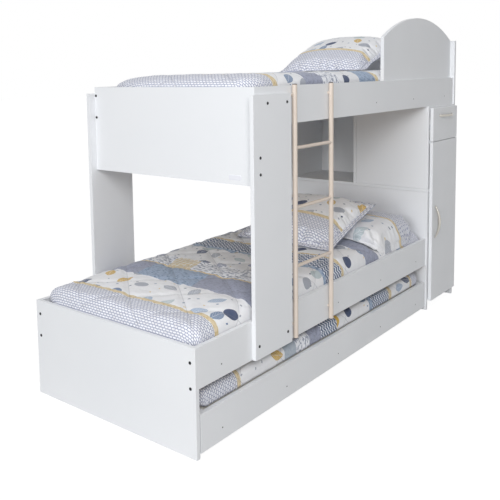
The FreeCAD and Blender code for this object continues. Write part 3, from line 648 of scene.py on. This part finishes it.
# Boards whose eased edges show as a seam line where they meet
SEAM_BOARDS = ("cabinet_lower_panel", "cabinet_upper_panel", "niche_shelf")
SEAM_EDGE, BOARD_EDGE, PINE_EDGE = 0.003, 0.0009, 0.0012
NODE_FINISH = {
    "drawer_board": ("drawer_sides", "drawer_back", "drawer_bottom"),
    "pine": ("corner_blocks", "side_bearers", "lower_slats", "upper_slats", "trundle_bearers",
             "trundle_slats"),
    "ladder_tube": ("left_stile", "right_stile", "ladder_rungs", "ladder_spacers"),
    "satin_nickel": ("hinge_frame_leaves", "hinge_pins", "hinge_door_leaves"),
    "zinc_steel": ("frame_nuts", "castor_forks", "drawer_tracks", "drawer_slides"),
}


def finish_node(node, slot, edge):
    """Put a finish on a CAD node, with its edges eased in the looks alone."""
    piece = nodes[node]
    paint_piece(piece, slot)
    if edge:
        modify(piece, "joined_corners", "WELD", merge_threshold=0.00001)
        modify(piece, "whole_faces", "DECIMATE", decimate_type="DISSOLVE", angle_limit=math.radians(0.5))
        modify(piece, "eased_edges", "BEVEL", width=edge, segments=2, limit_method="ANGLE",
               angle_limit=math.radians(50), harden_normals=True)


def finish_frame():
    """Finish each CAD node that stays in view."""
    for node in BOARDS:
        finish_node(node, "white_laminate", SEAM_EDGE if node in SEAM_BOARDS else BOARD_EDGE)
    for slot, names in NODE_FINISH.items():
        for node in names:
            finish_node(node, slot, PINE_EDGE if slot == "pine" else 0.0)


# Fasteners and small fittings


def button_bolt(points):
    """A round bolt with a domed head and a hexagon socket, in a CAD bolt's place."""
    start, way, length, reach = bar_line(points)
    head, shank = 0.0026, 0.003
    dome = ((0.42, 0.0011), (0.44, 0.0002), (0.62, 0.0), (0.86, 0.0007), (0.97, 0.0016), (1.0, head))
    profile = [(reach * share, height) for share, height in dome]
    profile += [(shank, head), (shank, length - 0.001), (shank * 0.7, length)]
    return lathe(profile, start, way, 18)


def flush_screw(points):
    """A countersunk screw with a cross recess, in a CAD screw's place."""
    start, way, length, reach = bar_line(points)
    turned = ((0.25, 0.0012), (0.45, 0.0002), (0.92, 0.0001), (1.0, 0.0006), (0.8, 0.004),
              (0.78, length * 0.8), (0.2, length))
    return lathe([(reach * 0.98 * share, height) for share, height in turned], start, way, 12)


def make_fasteners():
    """Bolts and screws with turned heads."""
    for name, node, make, body in (
        ("button_head_bolts", "frame_bolts", button_bolt, "frame"),
        ("frame_flush_screws", "frame_screws", flush_screw, "frame"),
        ("trundle_flush_screws", "trundle_screws", flush_screw, "trundle"),
    ):
        vertices, faces = merge([make(points) for points in loose_parts(node)])
        piece = new_piece(name, vertices, faces, "black_bolt", body, smooth=False)
        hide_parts(node)


def make_wheels():
    """Castor wheels with a rounded tread, a side groove and a hub."""
    for place in ("front_foot", "front_head", "rear_foot", "rear_head"):
        node = "castor_wheel_" + place
        low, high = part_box(node)
        radius = (high.z - low.z) / 2
        width = high.x - low.x
        middle = (low + high) / 2
        start = Vector((low.x, middle.y, middle.z))
        bore = 0.0032
        side = ((0.34, 0.0), (0.36, 0.0014), (0.66, 0.0014), (0.69, 0.0004), (0.86, 0.0004),
                (0.96, 0.0018), (1.0, 0.0045))
        half = [(bore, 0.0)] + [(radius * share, height) for share, height in side]
        profile = half + [(r, width - h) for r, h in reversed(half)]
        profile.append(profile[0])
        sides = 32
        vertices = lathe(profile, start, Vector((1, 0, 0)), sides)[0][:-sides]
        faces = [tuple(index % len(vertices) for index in face) for face in ring_faces(len(profile), sides)]
        piece = new_piece("castor_tyre_" + place, vertices, faces, "wheel_rubber", "wheel_" + place,
                          smooth=False)
        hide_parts(node)


def make_stile_plugs():
    """Dark caps in the open ends of the ladder's tubes."""
    for name in ("left_stile", "right_stile"):
        low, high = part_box(name)
        radius = (high.x - low.x) / 2
        centre = (low + high) / 2
        cap = ((0.5, 0.0), (0.96, 0.0), (0.98, 0.0012), (0.8, 0.0026), (0.3, 0.0031))
        profile = [(radius * share, height) for share, height in cap]
        ends = ((high.z, 1), (low.z, -1))
        vertices, faces = merge([lathe(profile, Vector((centre.x, centre.y, z)), Vector((0, 0, way)), 24)
                                 for z, way in ends])
        new_piece(name + "_plugs", vertices, faces, "black_bolt", "frame", smooth=False)


def make_handles():
    """Crescent handles: bows that are deepest in the middle and thin out to their two feet."""
    rows, steps = 33, 3
    width, deep, thin, ease = 0.012, 0.014, 0.004, 0.0016
    for node, body, along in (("drawer_handle", "drawer", 0), ("door_handle", "door", 2)):
        low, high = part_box(node)
        centre = (low + high) / 2
        half_length = (high[along] - low[along]) / 2
        reach = high.y - low.y
        vertices = []
        for row in range(rows):
            share = 2 * row / (rows - 1) - 1
            crown = 1 - share * share
            outer = thin + (reach - thin) * crown
            inner = max(outer - thin - (deep - thin) * crown, 0.0)
            middle, half_depth = (outer + inner) / 2, (outer - inner) / 2
            for side, out in corner_outline(width / 2, half_depth, ease, steps):
                point = centre.copy()
                point[along] += share * half_length
                point[2 - along] += side
                point.y = high.y - middle - out
                vertices.append(point)
        faces = ring_faces(rows, 4 * steps) + caps(rows, 4 * steps)
        if along == 2:
            faces = [tuple(reversed(face)) for face in faces]
        piece = new_piece("crescent_" + node, vertices, faces, "satin_nickel", body)
        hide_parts(node)


def make_plate():
    """The small bare plate with round ends on the upper foot panel."""
    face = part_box("upper_foot_panel")[0].x
    centre = Vector((face, 0.0935, 0.9268)) + Vector((0, BED_ORIGIN.y, 0))
    half_length, half_height, depth = 0.0285, 0.0092, 0.0014
    outline = corner_outline(half_length, half_height, 0.0055, 7)
    vertices = []
    for scale, x in ((1.0, 0.0), (1.0, -depth * 0.6), (0.985, -depth)):
        vertices.extend(centre + Vector((x, y * scale, z * scale)) for y, z in outline)
    faces = ring_faces(3, len(outline)) + caps(3, len(outline))
    new_piece("bare_plate", vertices, faces, "satin_nickel", "frame", smooth=False,
              material=MATERIALS["pale_plate"])


# Bedding

QUARTER_TURN = np.linspace(0.0, math.pi / 2, 91)


def edge_lengths(radius, top):
    """Cloth lengths over a rounded edge from its top, by even steps of a quarter turn."""
    speed = np.hypot(radius * np.cos(QUARTER_TURN), top * np.sin(QUARTER_TURN))
    steps = (speed[1:] + speed[:-1]) / 2 * QUARTER_TURN[1]
    return np.concatenate(([0.0], np.cumsum(steps)))


def flat_place(share, core, below, radii):
    """Places on the flat cloth for points of a rounded box, by their ways from its core."""
    foot, head, front, rear, top = radii
    tilt = np.arccos(np.clip(share[:, 2], -1.0, 1.0))
    level = np.maximum(np.hypot(share[:, 0], share[:, 1]), 1e-9)
    flat = core[:, :2].copy()
    for axis, low_radius, high_radius in ((0, foot, head), (1, front, rear)):
        lengths = [np.interp(tilt, QUARTER_TURN, edge_lengths(radius, top)) + below
                   for radius in (low_radius, high_radius)]
        part = share[:, axis] / level
        flat[:, axis] += part * np.where(part < 0, *lengths)
    return flat


def unit(ways):
    """Ways of length 1, or of none."""
    return ways / np.maximum(np.linalg.norm(ways, axis=1, keepdims=True), 1e-9)


def rounded(points, low, high, radii):
    """Points of a box moved on to one with rounded upper edges, the outward ways and the cloth places."""
    foot, head, front, rear, top = radii
    core_low = np.array((low[0] + foot, low[1] + front, low[2]))
    core_high = np.array((high[0] - head, high[1] - rear, high[2] - top))
    core = np.clip(points, core_low, core_high)
    offset = points - core
    scale = np.where(offset < 0, (foot, front, top), (head, rear, top))
    share = unit(offset / scale)
    below = np.maximum(core_high[2] - points[:, 2], 0.0)
    return core + share * scale, unit(share / scale), flat_place(share, core, below, radii)


def box_skin(low, high, step, closed):
    """Points and faces of a box's top and sides, and of its base when closed."""
    counts = [max(2, round((high[i] - low[i]) / step)) for i in range(3)]
    lines = [np.linspace(low[i], high[i], counts[i] + 1) for i in range(3)]
    index_of = {}
    faces = []

    def face(corners):
        faces.append(tuple(index_of.setdefault(corner, len(index_of)) for corner in corners))

    top = counts[2]
    for i in range(counts[0]):
        for j in range(counts[1]):
            corners = ((i, j, top), (i + 1, j, top), (i + 1, j + 1, top), (i, j + 1, top))
            face(corners)
            if closed:
                face(tuple(reversed([(c[0], c[1], 0) for c in corners])))
    for k in range(top):
        for i in range(counts[0]):
            for j, sign in ((0, 1), (counts[1], -1)):
                face([(i, j, k), (i + 1, j, k), (i + 1, j, k + 1), (i, j, k + 1)][::sign])
        for j in range(counts[1]):
            for i, sign in ((0, -1), (counts[0], 1)):
                face([(i, j, k), (i, j + 1, k), (i, j + 1, k + 1), (i, j, k + 1)][::sign])
    return np.array([(lines[0][i], lines[1][j], lines[2][k]) for i, j, k in index_of]), faces


def wave(x, y, size, seed):
    """Smooth random height from -1 to 1 at a given wave size."""
    return noise.noise(Vector((x / size, y / size, seed * 7.31)))


def quilt_relief(x, y, edges, seed):
    """How far the quilt's top stands out: puffs between seams, puckers along them and soft waves."""
    soft, fine, pinch, tuck, pucker, crease = 0.0035, 0.002, 0.0052, 0.003, 0.0036, 0.0016
    height = soft * wave(x, y, 0.16, seed) + fine * wave(x, y * 1.4, 0.05, seed + 1)
    nearest = 1.0
    for sign in (1.0, -1.0):
        way = (x + sign * y * QUILT_SLOPE) / QUILT_PITCH
        nearest = min(nearest, abs(way - round(way)) * QUILT_PITCH / math.hypot(1.0, QUILT_SLOPE))
    height -= pinch * math.exp(-((nearest / 0.014) ** 2))
    seam = min(abs(x - edge) for edge, _ in edges[1:])
    height -= tuck * math.exp(-((seam / 0.007) ** 2))
    height += pucker * wave(x * 0.4, y, 0.017, seed + 2) * math.exp(-((seam / 0.03) ** 2))
    return height + crease * wave(x, y, 0.022, seed + 3) * math.exp(-((nearest / 0.03) ** 2))


class Quilt:
    """A printed quilt over a mattress, with the height of its top at any place."""

    def __init__(self, name, node, body, edges, cloth, radii, rise, sink, puff, press, seed):
        low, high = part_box(node)
        self.low = np.array(low - BED_ORIGIN)
        self.high = np.array(high - BED_ORIGIN)
        self.high[2] -= rise + sink
        self.radii = radii
        self.rise = rise
        self.press = press
        points, faces = box_skin(self.low, self.high, 0.010, False)
        placed, ways, flat = rounded(points, self.low, self.high, radii)
        depth = self.high[2] - self.low[2]
        for index, way in enumerate(ways):
            x, y, z = points[index]
            relief = puff * quilt_relief(*flat[index], edges, seed) * max(way[2], 0.0)
            wall = 1.0 - max(way[2], 0.0)
            folds = 0.5 + 0.5 * wave(x + y, z * 0.4, 0.06, seed + 5)
            relief -= wall * (0.0012 + 0.0035 * folds)
            placed[index] += way * relief
            share = (placed[index][2] - self.low[2]) / depth
            along = (x - self.low[0]) / (self.high[0] - self.low[0])
            placed[index][2] += share * (rise * along - press(x, placed[index][1]))
        vertices = [Vector(p) + BED_ORIGIN for p in placed]
        self.piece = new_piece(name, vertices, faces, "quilt_print", body, material=MATERIALS[cloth])
        print_map(self.piece, flat)
        modify(self.piece, "thickness", "SOLIDIFY", thickness=0.006, offset=-1.0)
        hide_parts(node)

    def height(self, x, y):
        """The top's height over the floor at a place in the bed's axes."""
        foot, head, front, rear, top = self.radii
        inner_x = min(max(x, self.low[0] + foot), self.high[0] - head)
        inner_y = min(max(y, self.low[1] + front), self.high[1] - rear)
        over_x = abs(x - inner_x) / (foot if x < inner_x else head)
        over_y = abs(y - inner_y) / (front if y < inner_y else rear)
        reach = min(1.0, math.hypot(over_x, over_y))
        drop = top * (1.0 - math.sqrt(1.0 - reach * reach))
        share = min(max((x - self.low[0]) / (self.high[0] - self.low[0]), 0.0), 1.0)
        return self.high[2] + self.rise * share - drop - self.press(x, y)


def make_mattress(name, node, body, radii):
    """A mattress with rounded edges round both faces and soft tufts."""
    low, high = (np.array(corner - BED_ORIGIN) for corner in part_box(node))
    points, faces = box_skin(low, high, 0.03, True)
    middle = (low[2] + high[2]) / 2
    upper = points[:, 2] >= middle
    edge = 0.03
    placed = np.empty_like(points)
    placed[upper] = rounded(points[upper], low, high, radii)[0]
    mirrored = points[~upper] * (1, 1, -1) + (0, 0, low[2] + high[2])
    turned = rounded(mirrored, low, high, (edge,) * 5)[0]
    placed[~upper] = turned * (1, 1, -1) + (0, 0, low[2] + high[2])
    for point in placed:
        dents = abs(math.sin(point[0] * 21.0) * math.sin(point[1] * 21.0))
        point[2] += (middle - point[2]) * 0.06 * (1.0 - dents)
    vertices = [Vector(p) + BED_ORIGIN for p in placed]
    piece = new_piece(name, vertices, faces, "mattress_ticking", body)
    modify(piece, "smooth", "SUBSURF", levels=1, render_levels=1)
    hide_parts(node)


def pulled_in(half, share, other):
    """A place on a pillow's plan along one way, by its shares of both: the sides pull in between corners."""
    return half * share * (1 - PILLOW_PULL * (1 - other ** 4))


def pillow_form(half_up, half_across, thick, tuck, power, count):
    """A pillow's two skins on a grid: crowned, its sides drawn in, its corners tucked by a share."""
    vertices = []
    faces = []
    ring = {}
    for side in (1, -1):
        for i in range(count + 1):
            for j in range(count + 1):
                u = math.sin((i / count - 0.5) * math.pi)
                v = math.sin((j / count - 0.5) * math.pi)
                on_edge = i in (0, count) or j in (0, count)
                if on_edge and side < 0:
                    continue
                x = pulled_in(half_up, u, v)
                y = pulled_in(half_across, v, u)
                swell = max((1 - u * u) * (1 - v * v), 0.0) ** power
                corner = 1 - tuck * (u * v) ** 4 - 0.8 * tuck * (1 - swell) ** 3
                ring[(side, i, j)] = len(vertices)
                height = side * thick * swell * (1.0 if side > 0 else 0.55)
                vertices.append(Vector((x * corner, y * corner, height)))
    for side in (1, -1):
        for i in range(count):
            for j in range(count):
                keys = ((i, j), (i + 1, j), (i + 1, j + 1), (i, j + 1))
                face = [ring.get((side, *key), ring.get((1, *key))) for key in keys]
                faces.append(tuple(face if side > 0 else reversed(face)))
    return vertices, faces


def over_crown(share, other, half, thick, power):
    """The cloth length from a pillow's middle to a place over its crown, along one of its ways."""
    height = thick * max(1 - other * other, 0.0) ** power
    ends = np.linspace(0.0, min(abs(share), 1.0), 13)
    rises = np.diff(height * (1 - ends * ends) ** power)
    return math.copysign(float(np.sum(np.hypot(np.diff(ends) * half, rises))), share)


def swell_cloth(piece, cap):
    """Let the pillow's cloth fill under pressure with its seam held, and keep each point near its start."""
    modify(piece, "remesh", "REMESH", mode="VOXEL", voxel_size=0.007)
    apply_modifiers(piece)
    start = np.array([v.co for v in piece.data.vertices])
    seam = piece.vertex_groups.new(name="seam")
    held = [v.index for v in piece.data.vertices if abs(v.co.z) < 0.006]
    seam.add(held, 1.0, "REPLACE")
    cloth = modify(piece, "cloth", "CLOTH")
    set_all(cloth.settings, {"quality": 4, "mass": 0.2, "tension_stiffness": 8, "compression_stiffness": 8,
                             "bending_stiffness": 0.15, "shrink_min": -0.07, "vertex_group_mass": "seam",
                             "use_pressure": True, "uniform_pressure_force": 4.0})
    cloth.settings.effector_weights.gravity = 0.0
    cloth.collision_settings.use_collision = False
    last_step = 20
    set_all(cloth.point_cache, {"frame_start": 1, "frame_end": last_step})
    scene = bpy.context.scene
    for step in range(1, last_step + 1):
        scene.frame_set(step)
    apply_modifiers(piece)
    scene.frame_set(1)
    end = np.array([v.co for v in piece.data.vertices])
    move = end - start
    length = np.linalg.norm(move, axis=1, keepdims=True)
    move *= np.minimum(1.0, cap / np.maximum(length, 1e-9))
    piece.data.vertices.foreach_set("co", (start + move).ravel())
    piece.vertex_groups.clear()
    piece.data.update()


def replace_mesh(piece, mesh):
    """Give a piece another mesh and delete its old one."""
    old = piece.data
    piece.data = mesh
    bpy.data.meshes.remove(old)


def apply_modifiers(piece):
    """Replace a piece's mesh by what its modifiers give."""
    bpy.context.view_layer.update()
    graph = bpy.context.evaluated_depsgraph_get()
    mesh = bpy.data.meshes.new_from_object(piece.evaluated_get(graph))
    piece.modifiers.clear()
    replace_mesh(piece, mesh)


def flange_form(half_up, half_across, width, seed):
    """The flat double hem outside a pillow's seam, with its rows' places."""
    count = 160
    rows = (-0.012, 0.0, width * 0.35, width * 0.7, width)
    vertices = []
    flat = []
    for level, level_rows in ((0.0014, rows), (-0.0014, rows[::-1])):
        for row in level_rows:
            for index in range(count):
                u, v = edge_walk(index / count)
                x = pulled_in(half_up, u, v)
                y = pulled_in(half_across, v, u)
                out = Vector((u ** 9, v ** 9, 0.0)).normalized()
                ripple = 0.006 * wave(x, y, 0.07, seed) * max(row, 0.0) / width
                vertices.append(Vector((x, y, ripple + level)) + out * row)
                flat.append((0.05 + row, 4 * half_across * index / count))
    whole = len(vertices)
    rings = ring_faces(2 * len(rows) + 1, count)
    faces = [tuple(index % whole for index in reversed(face)) for face in rings]
    return vertices, faces, flat


def edge_walk(share):
    """A point on the unit square's edge by the share of the way round, from -1, -1."""
    side = int(share * 4) % 4
    along = 2 * (share * 4 - int(share * 4)) - 1
    return ((along, -1), (1, along), (-along, 1), (-1, -along))[side]


def settle(point, floor, droop):
    """A point bent down towards its support past the pillow's body, and kept above it."""
    point.z -= droop(point.x, point.y)
    under = floor(point.x, point.y) + SOFT_GAP
    short = under + SOFT_EASE - point.z
    if short > 0:
        point.z = under + SOFT_EASE * math.exp(-short / SOFT_EASE)
    return point


def make_pillow(name, node, half_up, half_across, thick, hem, pose, floor, droop, shift, seed):
    """A pillow in a case, with a flat hem or none, set on what is under it."""
    tuck, power = (0.0, 0.42) if hem else (0.19, 0.3)
    vertices, faces = pillow_form(half_up, half_across, thick, tuck, power, 40)
    piece = new_piece(name, vertices, faces, "pillow_print", "frame")
    swell_cloth(piece, 0.016)
    modify(piece, "smooth", "SUBSURF", levels=1, render_levels=1)
    apply_modifiers(piece)
    main = [v.co.copy() for v in piece.data.vertices]
    flat = []
    for p in main:
        up, across = p.x / half_up, p.y / half_across
        flat.append((half_up + shift + over_crown(up, across, half_up, thick, power),
                     over_crown(across, up, half_across, thick, power)))
    parts = [(main, [tuple(p.vertices) for p in piece.data.polygons])]
    if hem:
        hem_points, hem_faces, hem_flat = flange_form(half_up, half_across, hem, seed)
        flat += hem_flat
        parts.append((hem_points, hem_faces))
    points, all_faces = merge(parts)
    mesh = bpy.data.meshes.new(name)
    mesh.from_pydata([settle(pose @ p, floor, droop) + BED_ORIGIN for p in points], [], all_faces)
    replace_mesh(piece, mesh)
    dress(piece, "pillow_print", "frame")
    print_map(piece, flat)
    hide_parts(node)
    return piece


def pillow_pose(centre, tilt, turn):
    """Where a pillow's own plane lies in the bed's axes."""
    place = Matrix.Translation(Vector(centre))
    return place @ Matrix.Rotation(math.radians(turn), 4, "Z") @ Matrix.Rotation(-math.radians(tilt), 4, "Y")


def make_bedding():
    """Quilts, mattresses and pillows."""
    def level(x, y):
        return 0.0

    def under_pillow(x, y):
        near = min(max((x - 1.33) / 0.12, 0.0), 1.0)
        outer = min(max((0.2 - y) / 0.17, 0.0), 1.0)
        return 0.046 * near * near * (3 - 2 * near) * outer * outer * (3 - 2 * outer)

    lower = Quilt("lower_printed_quilt", "lower_quilt", "frame", LOWER_BANDS, "lower_print",
                  (0.045, 0.05, 0.08, 0.12, 0.055), 0.022, 0.0, 1.0, under_pillow, 11)
    upper = Quilt("upper_printed_quilt", "upper_quilt", "frame", UPPER_BANDS, "upper_print",
                  (0.12, 0.05, 0.08, 0.3, 0.05), 0.002, 0.008, 0.45, level, 23)
    Quilt("trundle_printed_quilt", "trundle_quilt", "trundle", TRUNDLE_BANDS, "trundle_print",
          (0.02, 0.02, 0.05, 0.05, 0.04), 0.0, 0.0, 1.0, level, 37)
    make_mattress("lower_foam_mattress", "lower_mattress", "frame", (0.06, 0.03, 0.08, 0.12, 0.055))
    make_mattress("upper_foam_mattress", "upper_mattress", "frame", (0.14, 0.03, 0.08, 0.3, 0.055))
    make_mattress("trundle_foam_mattress", "trundle_mattress", "trundle", (0.03,) * 5)

    rail_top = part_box("lower_front_rail")[1].z

    def over_lower_bed(x, y):
        return max(lower.height(x, y), rail_top)

    def over_front_edge(x, y):
        past = max(0.1 - y, 0.0)
        return 9.5 * past * past

    make_pillow("upper_soft_pillow", "upper_pillow", 0.245, 0.255, 0.07, HEM,
                pillow_pose((1.98, 0.566, 1.394), 21.0, 0.0), upper.height, level, 0.0, 3)
    head = make_pillow("head_soft_pillow", "lower_head_pillow", 0.28, 0.305, 0.066, 0.0,
                       pillow_pose((1.625, 0.28, 0.472), 0.0, 180.0), over_lower_bed, over_front_edge,
                       -0.08, 5)
    head_tops = top_lookup(head)

    def over_head_pillow(x, y):
        return max(lower.height(x, y), head_tops(x, y))

    make_pillow("front_soft_pillow", "lower_front_pillow", 0.225, 0.25, 0.07, HEM,
                pillow_pose((1.352, 0.396, 0.555), 17.5, 0.0), over_head_pillow, level, 0.0, 8)


def top_lookup(piece):
    """A piece's top height at any place, from its vertices on a fine grid."""
    cell = 0.008
    tops = {}
    for vertex in piece.data.vertices:
        point = vertex.co - BED_ORIGIN
        key = (round(point.x / cell), round(point.y / cell))
        tops[key] = max(tops.get(key, 0.0), point.z)

    def top(x, y):
        column, row = round(x / cell), round(y / cell)
        near = [tops.get((column + i, row + j), 0.0) for i in (-1, 0, 1) for j in (-1, 0, 1)]
        return max(near)
    return top


# Camera, light and floor


def make_camera():
    """The photograph's view."""
    yaw, pitch, roll = 0.6963852, 0.1016072, -0.0182514
    level = math.pi / 2
    turn = Matrix.Rotation(yaw - level, 4, "Z") @ Matrix.Rotation(level - pitch, 4, "X")
    lens = {"sensor_width": 36, "lens": 50.82, "shift_x": 0.09026, "shift_y": -0.21198}
    camera = new_object("camera", set_all(bpy.data.cameras.new("camera"), lens))
    place = Matrix.Translation((-2.88252, -1.91772, 1.32342))
    camera.matrix_world = place @ turn @ Matrix.Rotation(roll, 4, "Z")
    bpy.context.scene.camera = camera


def add_lamp(name, kind, place, travel, **settings):
    """A lamp at a place that shines along a way."""
    lamp = new_object(name, set_all(bpy.data.lights.new(name, kind), settings))
    lamp.location = place
    lamp.rotation_euler = Vector(travel).to_track_quat("-Z", "Y").to_euler()


def make_world():
    """White to the camera, and a softer even light for the rest."""
    world = bpy.data.worlds.new("studio")
    bpy.context.scene.world = world
    world.use_nodes = True
    shading = Shading(world.node_tree)
    background = shading.tree.nodes["Background"]
    level = shading.spread(shading.background_rays(), 0.0, 1.0, 0.27, 1.0)
    shading.put(background.inputs["Color"], (1.0, 1.0, 1.0, 1.0))
    shading.put(background.inputs["Strength"], level)


def make_floor():
    """A pale floor that keeps a faint shadow."""
    mesh = bpy.data.meshes.new("floor")
    half = 30.0
    corners = [(x * half, y * half, -0.0005) for x, y in ((-1, -1), (1, -1), (1, 1), (-1, 1))]
    mesh.from_pydata(corners, [], [(0, 1, 2, 3)])
    floor = new_object("floor", mesh)
    paint = Paint("pale_floor", Roughness=0.9)
    tone = paint.mix(paint.noise(paint.place(), 3.0), linear(206, 206, 206), linear(202, 202, 202))
    paint.finish(tone)
    glow = paint.add("Emission", {"Color": (1.0, 1.0, 1.0, 1.0), "Strength": 1.19})
    share = paint.times(paint.background_rays(), 0.8)
    blend = paint.add("MixShader", {0: share, 1: paint.shader.outputs[0], 2: glow.outputs[0]})
    paint.put(paint.tree.nodes["Material Output"].inputs["Surface"], blend.outputs[0])
    mesh.materials.append(paint.material)


def make_studio():
    """Camera, lamps, surroundings and floor."""
    make_camera()
    make_world()
    make_floor()
    add_lamp("key", "AREA", (-3.1, -2.5, 2.5), (3.1, 2.5, -1.9), energy=63.0, size=1.4)
    add_lamp("foot_light", "SUN", (0.0, 0.0, 0.0), (0.97, 0.12, -0.16), energy=1.06,
             angle=math.radians(25.0), color=(0.96, 0.98, 1.0))
    add_lamp("top_light", "SUN", (0.0, 0.0, 0.0), (0.2, 0.1, -1.0), energy=0.6,
             angle=math.radians(40.0), color=(0.97, 0.985, 1.0))
    bpy.context.scene.view_settings.view_transform = "Standard"


finish_frame()
make_fasteners()
make_wheels()
make_stile_plugs()
make_handles()
make_plate()
make_bedding()
make_studio()
